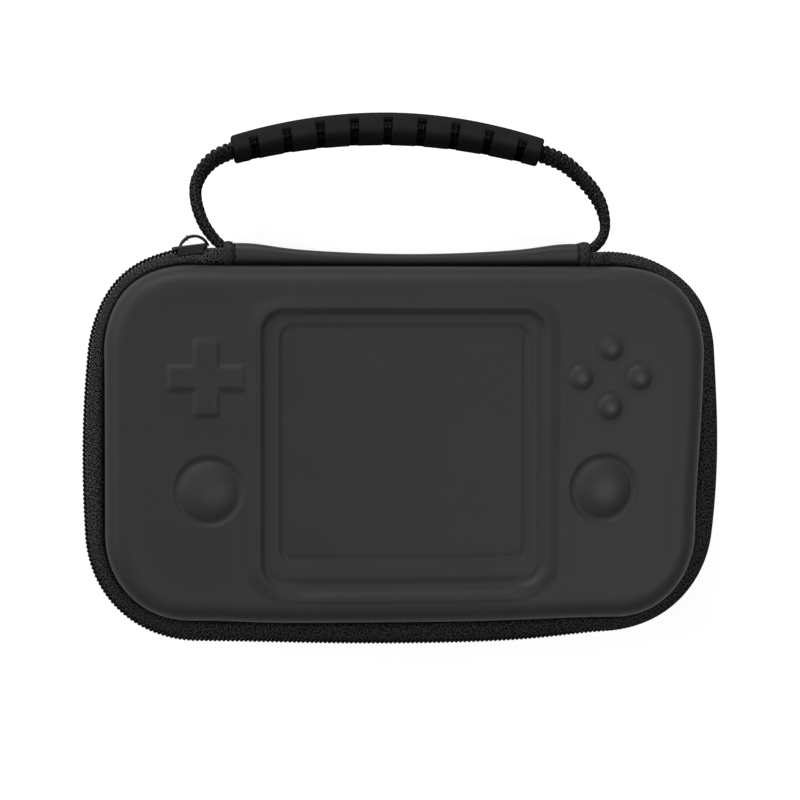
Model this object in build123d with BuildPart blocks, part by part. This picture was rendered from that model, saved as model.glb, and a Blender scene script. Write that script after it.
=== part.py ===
"""Zipped hard case for a handheld game console, lying on its back with the handle on the +Y side.

Millimetres. The origin is the centre of the back face, +Z points out of the embossed front face,
+X to the right and +Y towards the carrying handle.
"""

import os
from math import asin, cos, degrees, radians, sin, sqrt

from build123d import *

os.makedirs("parts", exist_ok=True)

# Shells: two moulded halves that face each other across the zip
case_depth = 46.0
rim_length = 175.0
rim_width = 104.0
rim_radius = 26.0
rim_spacing = 14.0
lip_reach = 1.0
lip_thickness = 1.2
wall = 3.0
draft = 4.0
face_radius = 5.0

# Relief on the front face
screen_length = 81.0
screen_width = 79.0
screen_radius = 5.0
screen_centre = (-0.5, 0.6)
groove_width = 1.8
groove_depth = 0.9
bezel_width = 5.0
bezel_depth = 0.3
screen_depth = 0.7
bead_width = 3.6
bead_height = 0.35
relief_slope = 40.0
cross_centre = (-57.8, 19.5)
cross_span = 22.4
cross_arm = 7.6
cross_lift = 1.0
button_centre = (58.7, 19.5)
button_offset = 8.6
button_radius = 4.6
button_lift = 1.1
stick_reach = 57.3
stick_drop = -13.0
stick_radius = 10.3
stick_lift = 2.0
moat_width = 1.8
moat_depth = 0.7

# Zip: the outermost edge of the case, bowed a little on every side
zip_length = 187.4
zip_width = 118.4
zip_radius = 34.0
side_bow = 6.8
long_bow = 4.2
tooth_pitch = 1.5
tooth_depth = 0.7
coil_width = 1.6
coil_height = 1.4
row_gap = 0.05
tape_thickness = 0.8
tape_setback = 0.4
seam_width = 4.0

# Sewn joints and running clearances
seam_gap = 0.1
run_gap = 0.35

# Binding sewn over the seam inside each shell
binding_thickness = 0.9

# Spine cloth and the strip that carries the handle
strip_setback = 39.4
strip_shift = 2.0
strip_thickness = 1.2
swell_flat = 9.8
swell_ramp = 15.5
strip_blend = 25.0
hem_width = 3.0
stitch_groove = 0.6
stitch_depth = 0.35
spine_thickness = 0.8
spine_setback = 4.7
spine_bevel = 2.2

# Handle: one strap sewn under both ends of the strip, and a moulded grip on it
strap_width = 10.0
strap_thickness = 3.0
strap_anchor = 7.0
strap_exit = 1.4
handle_droop = 13.5
handle_rise = 38.9
grip_shift = -4.1
grip_sag = 6.26527
grip_setback = 8.3
grip_width = 13.5
grip_end_thickness = 5.2
grip_mid_thickness = 6.9
grip_edge = 2.4
slot_count = 9
slot_margin = 5.6
slot_width = 2.6
slot_depth = 2.5
slot_top = 0.2
knee_left = (9.1, 15.0)
knee_right = (5.9, 9.5)
shoulder_left = (8.7, 29.2)
shoulder_right = (-4.3, 29.4)
knee_radius = 6.0
shoulder_radius = 12.0

# Zip slider and its pull
slider_angle = 97.2
slider_length = 11.0
slider_width = 8.4
plate_thickness = 0.9
flange_depth = 1.8
flange_thickness = 0.8
inner_plate_length = 10.0
inner_plate_width = 3.3
inner_plate_thickness = 0.8
post_size = 1.6
crown_span = 8.4
crown_shift = 1.0
crown_rise = 2.6
crown_wire = 0.9
pull_place = -1.6
pull_length = 20.0
pull_width = 4.6
pull_thickness = 1.3
pull_neck = 1.8
pull_neck_length = 7.0
pull_eye = 3.1
pull_hole = 2.1
pull_sag = 0.2
pull_corner = 1.5
plate_corner = 1.7
plate_rounding = 0.45
flange_end = 1.7
inner_plate_corner = 1.1

# Heights and places that follow from the sizes above
mid_height = case_depth / 2
mid_plane = Plane.XY.offset(mid_height)
front_rim = mid_height + rim_spacing / 2
shell_height = case_depth - front_rim
binding_height = shell_height / 2
rim_edge = rim_width / 2
tape_edge = mid_height + row_gap + coil_height + row_gap
seam_top = front_rim - seam_gap
spine_face = zip_width / 2 - spine_setback
strip_half = zip_length / 2 - strip_setback
strip_left = strip_shift - strip_half
strip_right = strip_shift + strip_half
swell_outer = strip_half - swell_flat
swell_inner = swell_outer - swell_ramp
grip_length = 2 * (strip_half - grip_setback)
grip_bend = (grip_length**2 / 4 + grip_sag**2) / (2 * grip_sag)
slot_spacing = (grip_length - 2 * slot_margin) / (slot_count - 1)


def rim_outline(inset):
    """Rounded rectangle of the shell rims, moved in by the inset."""
    with BuildSketch() as outline:
        RectangleRounded(rim_length - 2 * inset, rim_width - 2 * inset, rim_radius - inset)
    return outline.sketch


def screen_outline(inset):
    """Rounded rectangle of the embossed screen, moved in by the inset."""
    with BuildSketch() as outline:
        with Locations(screen_centre):
            RectangleRounded(screen_length - 2 * inset, screen_width - 2 * inset, screen_radius)
    return outline.sketch


def zip_outline(inset):
    """Bowed rounded rectangle through the tips of the zip's teeth, moved in by the inset."""
    half_length = zip_length / 2 - inset
    half_width = zip_width / 2 - inset
    corner_x = half_length - side_bow
    corner_y = half_width - long_bow
    with BuildSketch() as outline:
        with BuildLine():
            ThreePointArc((-corner_x, -corner_y), (0, -half_width), (corner_x, -corner_y))
            ThreePointArc((corner_x, -corner_y), (half_length, 0), (corner_x, corner_y))
            ThreePointArc((corner_x, corner_y), (0, half_width), (-corner_x, corner_y))
            ThreePointArc((-corner_x, corner_y), (-half_length, 0), (-corner_x, -corner_y))
        make_face()
        fillet(outline.vertices(), zip_radius - inset)
    return outline.sketch


def to_back(front_piece):
    """The back half's twin of a front piece, mirrored in the zip's plane."""
    with BuildPart() as twin:
        mirror(front_piece, about=mid_plane)
    return twin.part


def dome(base_radius, height):
    """Spherical cap standing on the XY plane."""
    with BuildPart() as cap:
        with BuildSketch(Plane.XZ):
            with BuildLine():
                cap_radius = (base_radius**2 + height**2) / (2 * height)
                RadiusArc((0, height), (base_radius, 0), cap_radius)
                Polyline((base_radius, 0), (base_radius, -wall / 2), (0, -wall / 2), (0, height))
            make_face()
        revolve(axis=Axis.Z)
    return cap.part


# Plain moulded half: drafted walls, a rounded face edge and a flared lip at the rim
with BuildPart() as plain_shell:
    with BuildSketch(Plane.XY.offset(front_rim)):
        add(rim_outline(lip_reach))
    extrude(amount=shell_height, taper=draft)
    fillet(plain_shell.faces().sort_by(Axis.Z)[-1].edges(), face_radius)
    offset(amount=-wall, openings=plain_shell.faces().sort_by(Axis.Z)[0])
    with BuildSketch(Plane.XY.offset(front_rim)):
        add(rim_outline(0))
        add(rim_outline(lip_reach + wall / 2), mode=Mode.SUBTRACT)
    extrude(amount=lip_thickness)

# Front shell: the plain half with the console's screen and controls in relief
button_dome = dome(button_radius, button_lift)
stick_dome = dome(stick_radius, stick_lift)
button_x, button_y = button_centre
button_places = [
    (button_x + button_offset, button_y, case_depth),
    (button_x - button_offset, button_y, case_depth),
    (button_x, button_y + button_offset, case_depth),
    (button_x, button_y - button_offset, case_depth),
]
stick_places = [(-stick_reach, stick_drop), (stick_reach, stick_drop)]
face_plane = Plane.XY.offset(case_depth)
with BuildPart() as front_shell:
    add(plain_shell.part)
    with BuildSketch(face_plane):
        add(screen_outline(-bead_width))
    with BuildSketch(face_plane.offset(bead_height)):
        add(screen_outline(0))
    loft(ruled=True)
    with BuildSketch(face_plane.offset(-bezel_depth)):
        add(screen_outline(0))
    extrude(amount=bezel_depth + bead_height, mode=Mode.SUBTRACT)
    with BuildSketch(face_plane.offset(-groove_depth)):
        add(screen_outline(0))
        add(screen_outline(groove_width), mode=Mode.SUBTRACT)
    extrude(amount=groove_depth, mode=Mode.SUBTRACT)
    with BuildSketch(face_plane.offset(-screen_depth)):
        add(screen_outline(bezel_width))
    extrude(amount=screen_depth, mode=Mode.SUBTRACT)
    with BuildSketch(face_plane):
        with Locations(cross_centre):
            Rectangle(cross_span, cross_arm)
            Rectangle(cross_arm, cross_span)
    extrude(amount=cross_lift, taper=relief_slope)
    with BuildSketch(face_plane):
        with Locations(*stick_places):
            Circle(stick_radius + moat_width)
    extrude(amount=-moat_depth, taper=relief_slope, mode=Mode.SUBTRACT)
    with Locations(*[(x, y, case_depth - moat_depth) for x, y in stick_places]):
        add(stick_dome)
    with Locations(*button_places):
        add(button_dome)
front_shell.part.label = "front_shell"
export_step(front_shell.part, "parts/front_shell.step")

# Back shell: the plain half, turned over
with BuildPart() as back_shell:
    add(to_back(plain_shell.part))
back_shell.part.label = "back_shell"
export_step(back_shell.part, "parts/back_shell.step")

# Handle plane: the loop hangs a little below the zip's plane when the case lies down
anchor_line = spine_face + seam_gap + strap_thickness / 2
droop_up = (0, sin(radians(handle_droop)), cos(radians(handle_droop)))
handle_plane = Plane(origin=(0, anchor_line, mid_height), x_dir=(1, 0, 0), z_dir=droop_up)
grip_centre = (grip_shift, handle_rise - grip_bend)
grip_half_angle = degrees(asin(grip_length / 2 / grip_bend))


def grip_point(angle, radius):
    """Point of the handle plane at an angle from the grip's middle, about the grip's centre."""
    centre_x, centre_y = grip_centre
    return (centre_x + radius * sin(radians(angle)), centre_y + radius * cos(radians(angle)))


grip_left = grip_point(-grip_half_angle, grip_bend)
grip_right = grip_point(grip_half_angle, grip_bend)


def strap(clearance):
    """The sewn strap with its loop, grown on every side by the clearance."""
    exit_left = (strip_left - strap_exit, 0)
    exit_right = (strip_right + strap_exit, 0)
    loop_left = [(strip_left - reach, rise) for reach, rise in (shoulder_left, knee_left)]
    loop_right = [(strip_right + reach, rise) for reach, rise in (shoulder_right, knee_right)]
    bends = [shoulder_radius, knee_radius]
    thickness = strap_thickness + 2 * clearance
    half_width = strap_width / 2 + clearance
    with BuildPart() as webbing:
        with BuildSketch(handle_plane):
            with BuildLine():
                FilletPolyline(grip_left, *loop_left, exit_left, radius=bends)
                FilletPolyline(grip_right, *loop_right, exit_right, radius=bends)
                ThreePointArc(grip_left, grip_point(0, grip_bend), grip_right)
            trace(line_width=thickness)
        extrude(amount=half_width, both=True)
        with BuildSketch(mid_plane):
            with Locations((strip_left - strap_exit, anchor_line)):
                Rectangle(strap_anchor + strap_exit, thickness, align=(Align.MIN, Align.CENTER))
            with Locations((strip_right + strap_exit, anchor_line)):
                Rectangle(strap_anchor + strap_exit, thickness, align=(Align.MAX, Align.CENTER))
        extrude(amount=half_width, both=True)
    return webbing.part


strap_room = strap(run_gap)

# Plain zip band: woven tape from the seam under the rim out to the teeth
tape_root = seam_top - tape_thickness
tape_slant = tape_setback + tape_thickness
with BuildPart() as zip_band:
    with BuildSketch(Plane.XY.offset(tape_edge)):
        add(zip_outline(tape_setback))
    with BuildSketch(Plane.XY.offset(seam_top)):
        add(rim_outline(0))
    loft(ruled=True)
    with BuildSketch(Plane.XY.offset(tape_edge)):
        add(zip_outline(tape_slant))
    with BuildSketch(Plane.XY.offset(tape_root)):
        add(rim_outline(tape_thickness))
    loft(ruled=True, mode=Mode.SUBTRACT)
    with BuildSketch(Plane.XY.offset(tape_root)):
        add(rim_outline(seam_width))
    extrude(amount=tape_thickness, mode=Mode.SUBTRACT)
    with BuildSketch(Plane.XY.offset(tape_edge)):
        with Locations(((strip_left + strip_right) / 2, zip_width / 2)):
            Rectangle(strip_right - strip_left + 2 * seam_gap, zip_width)
    extrude(amount=seam_top - tape_edge, mode=Mode.SUBTRACT)

# Front zip tape, tucked round the strap at both ends
with BuildPart() as front_zip_tape:
    add(zip_band.part)
    add(strap_room, mode=Mode.SUBTRACT)
front_zip_tape.part.label = "front_zip_tape"
export_step(front_zip_tape.part, "parts/front_zip_tape.step")

# Back zip tape
with BuildPart() as back_zip_tape:
    add(to_back(zip_band.part))
    add(strap_room, mode=Mode.SUBTRACT)
back_zip_tape.part.label = "back_zip_tape"
export_step(back_zip_tape.part, "parts/back_zip_tape.step")

# The slider is parked on the top left corner, which is an arc about this centre
corner_arcs = zip_outline(0).edges().filter_by(lambda edge: abs(edge.radius - zip_radius) < 0.001)
corner_arc = corner_arcs.sort_by(lambda edge: edge.arc_center.X - edge.arc_center.Y)[0]
corner_centre = corner_arc.arc_center
slider_out = Vector(cos(radians(slider_angle)), sin(radians(slider_angle)), 0)
slider_along = Vector(slider_out.Y, -slider_out.X, 0)
slider_origin = corner_centre + slider_out * zip_radius + Vector(0, 0, mid_height)
slider_plane = Plane(origin=slider_origin, x_dir=slider_along, z_dir=slider_out)
post_place = (inner_plate_length - post_size) / 2
row_start = slider_plane.from_local_coords((post_place - post_size / 2 - run_gap, 0, 0)).X
row_end = strip_right + strap_exit + strap_thickness


def tooth_row(phase, base_height):
    """One row of zip teeth round the outline, from the slider's post to the strap's right end."""
    edge = zip_outline(0).wire()
    count = round(edge.length / tooth_pitch)
    points = []
    for tooth in range(2 * count):
        place = (tooth + phase) / (2 * count)
        tip = edge.position_at(place)
        along = edge.tangent_at(place)
        across = Vector(along.Y, -along.X, 0)
        outward = across if across.dot(tip) > 0 else across * -1
        points.append(tip - outward * tooth_depth * (tooth % 2))
    with BuildPart() as row:
        with BuildSketch(Plane.XY.offset(base_height)):
            with BuildLine():
                Polyline(*points, close=True)
            make_face()
            add(zip_outline(coil_width), mode=Mode.SUBTRACT)
            with Locations(((row_start + row_end) / 2, zip_width / 2)):
                Rectangle(row_end - row_start, zip_width, mode=Mode.SUBTRACT)
        extrude(amount=coil_height)
    return row.part


# Zip teeth: the back row stands half a pitch on from the front row, so the teeth alternate
with BuildPart() as front_zip_coil:
    add(tooth_row(0, mid_height + row_gap))
front_zip_coil.part.label = "front_zip_coil"
export_step(front_zip_coil.part, "parts/front_zip_coil.step")

with BuildPart() as back_zip_coil:
    add(tooth_row(1, mid_height - row_gap - coil_height))
back_zip_coil.part.label = "back_zip_coil"
export_step(back_zip_coil.part, "parts/back_zip_coil.step")

# Front binding: a cloth band over the seam, against the inside of the wall
binding_inset = lip_reach + wall + seam_gap
with BuildPart() as front_binding:
    with BuildSketch(Plane.XY.offset(front_rim)):
        add(rim_outline(binding_inset))
    extrude(amount=binding_height, taper=draft)
    with BuildSketch(Plane.XY.offset(front_rim)):
        add(rim_outline(binding_inset + binding_thickness))
    extrude(amount=binding_height, taper=draft, mode=Mode.SUBTRACT)
front_binding.part.label = "front_binding"
export_step(front_binding.part, "parts/front_binding.step")

# Back binding
with BuildPart() as back_binding:
    add(to_back(front_binding.part))
back_binding.part.label = "back_binding"
export_step(back_binding.part, "parts/back_binding.step")

# Spine cloth: the hinge between the shells, inside the strip
seam_inner = rim_edge - seam_width
spine_top = seam_top - strip_thickness - seam_gap
with BuildPart() as spine_cloth:
    with BuildSketch(Plane.YZ.offset(strip_left)):
        for inset in (0, spine_thickness):
            face = spine_face - inset
            top = spine_top - inset
            low = case_depth - top
            with BuildLine():
                Polyline(
                    (seam_inner, top),
                    (face - spine_bevel, top),
                    (face, top - spine_bevel),
                    (face, low + spine_bevel),
                    (face - spine_bevel, low),
                    (seam_inner, low),
                    close=True,
                )
            make_face(mode=Mode.SUBTRACT if inset else Mode.ADD)
    extrude(amount=strip_right - strip_left)
spine_cloth.part.label = "spine_cloth"
export_step(spine_cloth.part, "parts/spine_cloth.step")

# Strip profile: it swells at both ends, where the strap lies under it
strip_inner_mid = spine_face + seam_gap
strip_inner_end = spine_face + strap_thickness + 2 * seam_gap
strip_inner_top = mid_height + strap_width / 2 + seam_gap


def strip_block(lift):
    """Solid under the strip's surface, which stands the lift above the strip's inner face."""
    y_end = strip_inner_end + lift
    y_mid = strip_inner_mid + lift
    end = strip_half + strip_thickness
    edge_top = seam_top - strip_thickness + lift
    nose_top = min(strip_inner_top + lift, edge_top)
    with BuildPart() as block:
        with BuildSketch(Plane.XY.shift_origin((strip_shift, 0, 0))):
            with BuildLine():
                FilletPolyline(
                    (-end, y_end),
                    (-swell_outer, y_end),
                    (-swell_inner, y_mid),
                    (swell_inner, y_mid),
                    (swell_outer, y_end),
                    (end, y_end),
                    radius=strip_blend,
                )
                Polyline((end, y_end), (end, seam_inner), (-end, seam_inner), (-end, y_end))
            make_face()
        extrude(amount=case_depth)
        with BuildSketch(Plane.YZ.offset(strip_left)):
            with BuildLine():
                Polyline(
                    (seam_inner, edge_top),
                    (rim_edge, edge_top),
                    (y_end, nose_top),
                    (y_end, case_depth - nose_top),
                    (rim_edge, case_depth - edge_top),
                    (seam_inner, case_depth - edge_top),
                    close=True,
                )
            make_face()
        extrude(amount=strip_right - strip_left, mode=Mode.INTERSECT)
    return block.part


# Handle strip: smooth sheet over the spine, with a hem and a row of stitches at each end
strip_core = strip_block(0)
strip_skin = strip_block(strip_thickness)
strip_under_stitch = strip_block(strip_thickness - stitch_depth)
stitch_reach = strip_half - hem_width
with BuildPart() as handle_strip:
    add(strip_skin)
    with BuildSketch(Plane.XY):
        with Locations((strip_shift - stitch_reach, rim_edge), (strip_shift + stitch_reach, rim_edge)):
            Rectangle(stitch_groove, rim_width)
    extrude(amount=case_depth, mode=Mode.SUBTRACT)
    add(strip_under_stitch)
    add(strip_core, mode=Mode.SUBTRACT)
handle_strip.part.label = "handle_strip"
export_step(handle_strip.part, "parts/handle_strip.step")

# Webbing: one strap from end to end of the strip, through the grip
with BuildPart() as handle_webbing:
    add(strap(0))
handle_webbing.part.label = "handle_webbing"
export_step(handle_webbing.part, "parts/handle_webbing.step")

# Grip: a moulded sleeve, thicker in the middle, with finger slots on its inner side
channel_half = strap_thickness / 2 + seam_gap
slot_pitch = degrees(slot_spacing / grip_bend)
slot_fan = slot_pitch * (slot_count - 1)
slot_height = grip_mid_thickness / 2
slot_radius = grip_bend - slot_top - slot_height / 2
with BuildPart() as handle_grip:
    with BuildSketch(handle_plane):
        with BuildLine():
            outer_left = grip_point(-grip_half_angle, grip_bend + grip_end_thickness / 2)
            outer_right = grip_point(grip_half_angle, grip_bend + grip_end_thickness / 2)
            inner_left = grip_point(-grip_half_angle, grip_bend - grip_end_thickness / 2)
            inner_right = grip_point(grip_half_angle, grip_bend - grip_end_thickness / 2)
            ThreePointArc(outer_left, grip_point(0, grip_bend + grip_mid_thickness / 2), outer_right)
            Line(outer_right, inner_right)
            ThreePointArc(inner_right, grip_point(0, grip_bend - grip_mid_thickness / 2), inner_left)
            Line(inner_left, outer_left)
        make_face()
    extrude(amount=grip_width / 2, both=True)
    long_edges = handle_grip.edges().filter_by(GeomType.CIRCLE)
    fillet(long_edges, grip_edge)
    with BuildSketch(handle_plane):
        with BuildLine():
            ThreePointArc(grip_left, grip_point(0, grip_bend), grip_right)
        trace(line_width=2 * channel_half)
    extrude(amount=strap_width / 2 + seam_gap, both=True, mode=Mode.SUBTRACT)
    for side_plane in (handle_plane.offset(-grip_width / 2), handle_plane.offset(grip_width / 2 - slot_depth)):
        with BuildSketch(side_plane):
            with Locations(grip_centre):
                with PolarLocations(slot_radius, slot_count, 90 - slot_fan / 2, slot_fan, endpoint=True):
                    Rectangle(slot_height, slot_width)
        extrude(amount=slot_depth, mode=Mode.SUBTRACT)
handle_grip.part.label = "handle_grip"
export_step(handle_grip.part, "parts/handle_grip.step")

# Slider: outer plate with rolled edges, inner plate, the post between them and the crown
arc_drop = zip_radius - sqrt(zip_radius**2 - (inner_plate_length / 2) ** 2)
inner_plate_top = -(coil_width + arc_drop + run_gap)
plate_top = run_gap + plate_thickness
crown_foot = crown_span / 2
crown_crest = plate_top + crown_rise
with BuildPart() as zip_slider:
    with BuildSketch(slider_plane.offset(run_gap)):
        RectangleRounded(slider_length, slider_width, plate_corner)
    extrude(amount=plate_thickness)
    fillet(zip_slider.faces().sort_by(Axis((0, 0, 0), slider_out))[-1].edges(), plate_rounding)
    with BuildSketch(slider_plane.offset(run_gap - flange_depth)):
        with GridLocations(0, slider_width - flange_thickness, 1, 2):
            Rectangle(slider_length - 2 * flange_end, flange_thickness)
    extrude(amount=flange_depth)
    with BuildSketch(slider_plane.offset(inner_plate_top - inner_plate_thickness)):
        RectangleRounded(inner_plate_length, inner_plate_width, inner_plate_corner)
    extrude(amount=inner_plate_thickness)
    with BuildSketch(slider_plane.offset(inner_plate_top)):
        with Locations((post_place, 0)):
            Rectangle(post_size, post_size)
    extrude(amount=run_gap - inner_plate_top)
    crown_origin = slider_origin + slider_along * crown_shift
    crown_plane = Plane(origin=crown_origin, x_dir=slider_along, z_dir=(0, 0, 1))
    with BuildLine(crown_plane) as crown_path:
        ThreePointArc((-crown_foot, run_gap), (0, crown_crest), (crown_foot, run_gap))
    with BuildSketch(Plane(origin=crown_path.line @ 0, z_dir=crown_path.line % 0)):
        Circle(crown_wire / 2)
    sweep(path=crown_path.line)
zip_slider.part.label = "zip_slider"
export_step(zip_slider.part, "parts/zip_slider.step")

# Pull: hangs from the crown by its eye
crown_sag = crown_crest - run_gap
crown_radius = (crown_foot**2 + crown_sag**2) / (2 * crown_sag)
pull_height = crown_crest - crown_radius + sqrt(crown_radius**2 - pull_place**2)
pull_origin = crown_origin + slider_along * pull_place + slider_out * pull_height
pull_plane = Plane(origin=pull_origin, x_dir=(0, 0, -1), z_dir=slider_along)
with BuildPart() as zip_pull:
    with BuildSketch(pull_plane):
        with Locations((pull_sag, 0)):
            Circle(pull_eye / 2)
        Rectangle(pull_neck_length, pull_neck, align=(Align.MIN, Align.CENTER))
        with Locations((pull_neck_length - pull_neck / 2, 0)):
            tab_length = pull_length - pull_neck_length + pull_neck / 2
            RectangleRounded(tab_length, pull_width, pull_corner, align=(Align.MIN, Align.CENTER))
        with Locations((pull_sag, 0)):
            Circle(pull_hole / 2, mode=Mode.SUBTRACT)
    extrude(amount=pull_thickness / 2, both=True)
zip_pull.part.label = "zip_pull"
export_step(zip_pull.part, "parts/zip_pull.step")
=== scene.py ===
"""Looks of the zipped console case: moulded shells, woven zip, coated strip, webbing handle and grip.

Sizes below are in millimetres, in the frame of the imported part; meshes are made in metres.
"""

import bpy
import math
import numpy as np
from mathutils import Matrix, Vector


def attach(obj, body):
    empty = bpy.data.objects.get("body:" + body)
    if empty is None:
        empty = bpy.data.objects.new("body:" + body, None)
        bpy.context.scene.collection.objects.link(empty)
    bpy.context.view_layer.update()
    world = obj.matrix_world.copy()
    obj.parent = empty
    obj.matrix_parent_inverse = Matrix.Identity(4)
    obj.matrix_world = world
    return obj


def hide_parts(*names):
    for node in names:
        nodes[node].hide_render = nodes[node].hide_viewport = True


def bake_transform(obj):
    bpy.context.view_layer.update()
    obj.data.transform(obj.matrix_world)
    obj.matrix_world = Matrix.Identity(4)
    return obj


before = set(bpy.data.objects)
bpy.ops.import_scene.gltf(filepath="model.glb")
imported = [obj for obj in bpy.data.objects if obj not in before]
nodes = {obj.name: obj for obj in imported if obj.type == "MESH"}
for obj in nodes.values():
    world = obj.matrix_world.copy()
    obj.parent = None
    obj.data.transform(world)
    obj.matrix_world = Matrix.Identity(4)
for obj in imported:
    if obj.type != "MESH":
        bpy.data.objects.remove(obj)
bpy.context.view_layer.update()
MM = 0.001

# Camera, from the photograph's perspective
camera_place = (-52.9, 30.1, 750.0)
camera_turn = 0.0715
camera_nod = 0.024
camera_lens = 110.75
camera_sensor = 36.0

# Shells
case_depth = 46.0
mid_height = case_depth / 2
front_rim = 30.0
rim_length = 175.0
rim_width = 104.0
rim_radius = 26.0
lip_reach = 1.0
flare_reach = 0.45
bow_drop = 8.0
bow_fullness = 2.4
gloss_low = 17.5
gloss_high = 22.5
wall = 3.0
draft = math.radians(4.0)
face_radius = 5.0

# The front half sits a little off its true outline: place, shift and spread of each pull
settles = (
    ((90.0, -28.0), (-2.6, 0.9), 34.0),
    ((55.0, -52.0), (0.0, 0.9), 25.0),
    ((-80.0, 47.0), (-1.2, 1.0), 15.0),
    ((78.0, 46.0), (0.8, 0.7), 12.0),
    ((-60.0, -52.0), (0.0, 0.9), 16.0),
)

# Relief of the front face
groove_half = (39.7, 38.5)
groove_centre = (-1.2, -0.9)
groove_radius = 5.0
groove_section = (
    (-6.0, -0.36), (-1.3, -0.36), (-0.7, -0.45), (-0.2, -0.7), (0.3, -0.65), (1.5, 0.75), (2.2, 0.85),
    (5.6, 0.02), (7.0, -0.06), (9.0, 0.0),
)
groove_section_low = (
    (-6.0, -0.36), (-1.3, -0.36), (-0.7, -0.45), (-0.2, -0.75), (0.4, -0.8), (2.0, -0.7), (2.6, -0.45),
    (5.8, 0.95), (6.5, 1.0), (7.6, 0.5), (9.5, 0.0),
)
groove_low_reach = (40.0, 12.0)
groove_low_band = (5.0, 4.0)
screen_half = (35.1, 33.5)
screen_centre = (-1.1, 0.5)
screen_radius = 3.0
screen_section = (
    (-6.0, -0.34), (-1.2, -0.36), (-0.35, -0.8), (0.1, -0.75), (0.9, -0.1), (1.6, 0.0), (3.0, 0.0),
)
border_ease = 0.22
dish_depth = 0.3
dish_reach = 5.0
edge_fade = (0.5, 3.0)
back_dish_depth = 0.25
back_dish_reach = 14.0
cross_centre = (-57.8, 19.5)
cross_half = 11.2
cross_arm_half = 3.8
cross_lift = 0.8
cross_slope = 2.2
cross_corner = 1.2
cross_spread = 0.7
hub_depth = 0.35
hub_reach = 4.2
button_centre = (58.7, 19.5)
button_offset = 8.6
button_radius = 3.9
button_lift = 1.25
button_moat = 0.3
button_moat_width = 1.0
stick_places = ((-57.3, -13.0), (57.3, -13.0))
stick_radius = 8.8
stick_lift = 1.9
stick_moat = 0.75
stick_moat_width = 1.9
dome_power = 2.6
polish_reach = 0.75
polish_gain = 1.5

# Zip
zip_half_length = 93.7
zip_half_width = 59.2
zip_corner = (58.287, 23.239)
zip_corner_radius = 34.0
zip_corner_from = math.radians(93.85)
zip_corner_to = math.radians(173.04)
side_arc_radius = 225.83
long_arc_radius = 901.1
tape_thickness = 0.8
tape_edge_gap = 1.8
tape_setback = 1.15
tape_setback_right = 0.25
tape_cover_from = 44.0
tape_cover_to = 64.0
tape_root_rise = 5.2
tape_tuck = 0.4
tape_crown = 2.4
tape_laid_rise = 6.5
tape_end_tuck = 1.2
tape_step = 0.62
tape_turn = 0.62
tape_slim = 0.3
zip_push = 0.5
zip_push_top = 0.15
corner_swell = (
    (-82.0, 47.0, 0.6, 22.0), (-80.0, 50.0, 1.2, 13.0), (82.0, 47.0, 0.7, 22.0), (84.0, 40.0, 1.0, 15.0),
    (-58.0, 59.0, 0.8, 9.0), (-82.0, -47.0, 0.8, 22.0), (-82.0, -42.0, 1.2, 30.0), (60.0, -58.0, -1.1, 18.0),
    (58.0, 58.0, -0.8, 12.0),
)
seam_drop = 0.1
tape_lift_full = 3.4
tape_lift_end = 6.4
coil_pitch = 1.3
coil_middle = 1.02
coil_swing = 0.68
coil_slant = 0.85
coil_thread = 0.34
coil_centre_rise = 0.74
coil_half_height = 0.42
row_end_x = 60.7
row_start_x = -58.6

# Strip, spine and handle
strip_left = -52.9
strip_right = 55.0
strip_shift = 1.05
hem_width = 2.8
hem_puff = 0.55
stitch_sink = 0.35
stitch_inset = 0.45
stitch_rings = 7
stitch_sides = 6
sheet_thickness = 1.0
spine_thickness = 0.7
seam_inner = 48.0
anchor_line = 56.1
strap_width = 10.0
strap_thickness = 3.0
strap_thin = 2.35
strap_fullness = 3.6
strap_anchor = 7.0
strap_exit = 1.4
handle_droop = math.radians(13.5)
handle_rise = 38.9
grip_shift = -4.1
grip_bend = 172.0
grip_half_angle = math.asin(46.0 / 172.0)
grip_width = 13.5
grip_end_thickness = 6.2
grip_mid_thickness = 7.7
grip_fullness = 4.0
grip_drop = 0.5
grip_end_drop = 0.6
grip_right_drop = 0.4
slot_count = 9
slot_spacing = 10.1
slot_width = 2.6
slot_depth = 2.5
slot_rise_mid = 1.5
slot_rise_end = -0.3
slot_floor = 0.25
loop_left = (
    (-51.6, 0.5), (-55.2, 3.5), (-58.8, 8.5), (-60.9, 14.5), (-61.4, 20.2), (-59.3, 25.3), (-55.4, 29.3),
)
loop_right = (
    (49.0, 28.2), (53.9, 23.6), (57.6, 19.1), (59.8, 14.8), (60.8, 10.0), (60.7, 6.8), (58.9, 3.2),
    (55.0, 0.4),
)
loop_ease = 1.8
rib_pitch = 1.9
rib_rise = 0.75
braid_band = 1.5
braid_lean = 0.6
right_lean = 0.12

# Pull of the slider
pull_pivot = (-63.587, 60.407, 23.0)
pull_out = (-0.125333, 0.992115, 0.0)
pull_side = (0.992115, 0.125333, 0.0)
pull_ring = 0.72
pull_wire = 0.2
pull_sag = 0.2
pull_length = 20.0
pull_width = 4.6
pull_neck = 1.6
pull_lean = 0.8
crown_radius = 4.3
crown_turn = -math.asin(1.6 / crown_radius)
pull_neck_end = 6.1
pull_thickness = 1.0
pull_corner = 1.5
pull_bevel = 0.25


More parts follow.
